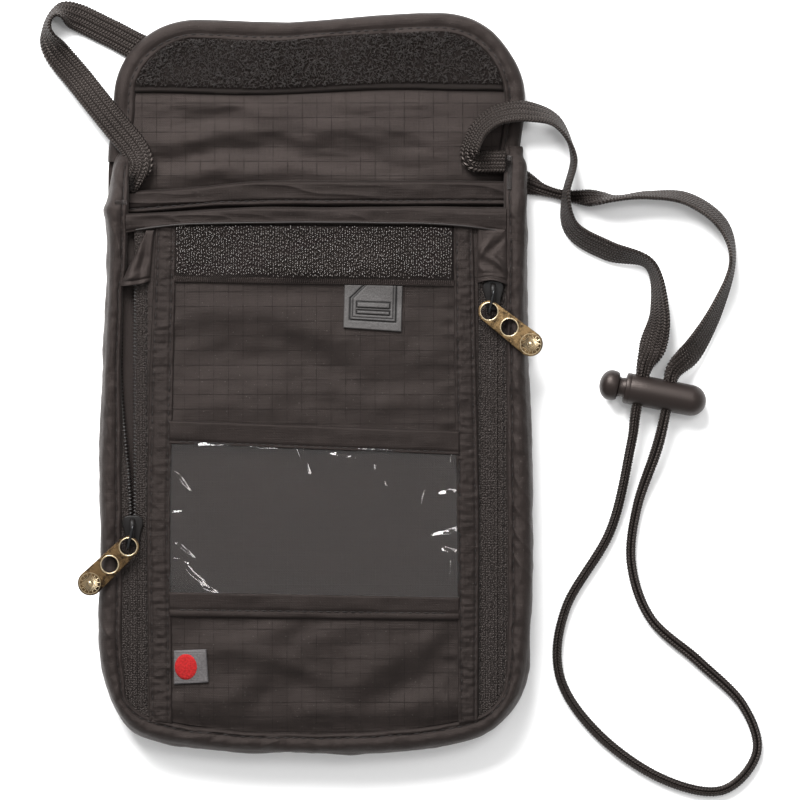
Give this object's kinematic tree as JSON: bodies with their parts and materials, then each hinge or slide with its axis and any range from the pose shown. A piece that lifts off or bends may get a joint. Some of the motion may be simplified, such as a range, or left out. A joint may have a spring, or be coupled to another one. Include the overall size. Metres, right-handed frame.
{
  "type": "neck pouch wallet",
  "caption": "Flat fabric pouch with side zips, a clear window and a fold-over flap, worn on a neck strap with a sprung cord lock.",
  "frame": {"origin": "middle of the flat back, on the surface that the pouch lies on", "axes": "+Z out of the front, +Y from the bottom towards the opened flap, +X to the right as the front is looked down on"},
  "size_m": [0.2327, 0.2565, 0.0182],
  "materials": {
    "ripstop": "matt ripstop weave",
    "lining": "matt plain weave",
    "binding": "matt weave, folded and stitched",
    "hook_tape": "hook-and-loop tape, hook side",
    "loop_tape": "hook-and-loop tape, loop side",
    "zip_tape": "matt woven tape",
    "zip_coil": "satin nylon",
    "rubber": "matt",
    "label": "woven",
    "vinyl": "clear, glossy and wavy",
    "steel": "satin",
    "gunmetal": "dark plated, glossy",
    "brass": "antique, dark patina",
    "strap": "flat braid",
    "lock": "semi-gloss moulded"
  },
  "bodies": {
    "pouch": {"back_panel": "ripstop", "back_lining": "lining", "left_gusset": "ripstop", "right_gusset": "ripstop", "bottom_gusset": "ripstop", "edge_binding": "binding", "pocket_divider": "lining", "divider_hem": "binding", "zip_pocket_backing": "lining", "front_hem": "binding", "front_panel": "ripstop", "left_strip": "binding", "right_strip": "binding", "front_hook_strip": "hook_tape", "rubber_patch": "rubber", "window_top_band": "binding", "window_vinyl": "vinyl", "window_bottom_band": "binding", "side_label": "label", "left_zip_inner_tape": "zip_tape", "left_zip_outer_tape": "zip_tape", "left_zip_inner_coil": "zip_coil", "left_zip_outer_coil": "zip_coil", "left_zip_bottom_stop": "steel", "left_zip_garage": "ripstop", "right_zip_inner_tape": "zip_tape", "right_zip_outer_tape": "zip_tape", "right_zip_inner_coil": "zip_coil", "right_zip_outer_coil": "zip_coil", "right_zip_bottom_stop": "steel", "right_zip_garage": "ripstop", "left_strap_anchor": "binding", "right_strap_anchor": "binding", "neck_strap": "strap"},
    "flap": {"flap_shell": "ripstop", "flap_lining": "lining", "flap_binding": "binding", "flap_loop_strip": "loop_tape"},
    "left_slider": {"left_slider": "gunmetal"},
    "left_link": {"left_pull_link": "gunmetal"},
    "left_pull": {"left_pull_tab": "brass"},
    "right_slider": {"right_slider": "gunmetal"},
    "right_link": {"right_pull_link": "gunmetal"},
    "right_pull": {"right_pull_tab": "brass"},
    "cord_lock": {"lock_barrel": "lock", "lock_spring": "steel"},
    "lock_button": {"lock_plunger": "lock"}
  },
  "joints": [
    {"name": "flap_fold", "type": "hinge", "parent": "pouch", "child": "flap", "pos_m": [0, 0.1, 0.0113], "axis": [1, 0, 0], "range_deg": [0, 180], "deforming": ["neck_strap"]},
    {"name": "left_zip_slide", "type": "slide", "parent": "pouch", "child": "left_slider", "axis": [0, -1, 0], "range_m": [-0.0754, 0.047]},
    {"name": "left_link_lift", "type": "hinge", "parent": "left_slider", "child": "left_link", "pos_m": [-0.0578, -0.0184, 0.01685], "axis": [-1, 0, 0], "range_deg": [0, 165]},
    {"name": "left_pull_swivel", "type": "hinge", "parent": "left_link", "child": "left_pull", "pos_m": [-0.05915, -0.02425, 0.01685], "axis": [0, 0, 1], "range_deg": [-41, 108]},
    {"name": "right_zip_slide", "type": "slide", "parent": "pouch", "child": "right_slider", "axis": [0, -1, 0], "range_m": [0, 0.122]},
    {"name": "right_link_lift", "type": "hinge", "parent": "right_slider", "child": "right_link", "pos_m": [0.0578, 0.057, 0.01685], "axis": [-1, 0, 0], "range_deg": [0, 165]},
    {"name": "right_pull_swivel", "type": "hinge", "parent": "right_link", "child": "right_pull", "pos_m": [0.05645, 0.05115, 0.01685], "axis": [0, 0, 1], "range_deg": [-140, 10]},
    {"name": "lock_slide", "type": "slide", "parent": "pouch", "child": "cord_lock", "axis": [-0.1908, -0.9816, 0], "range_m": [0, 0.01], "deforming": ["neck_strap"]},
    {"name": "lock_press", "type": "slide", "parent": "cord_lock", "child": "lock_button", "axis": [0.9816, -0.1908, 0], "range_m": [0, 0.002], "stiffness_N_per_m": 300, "springref_m": -0.006, "deforming": ["lock_spring"]}
  ]
}
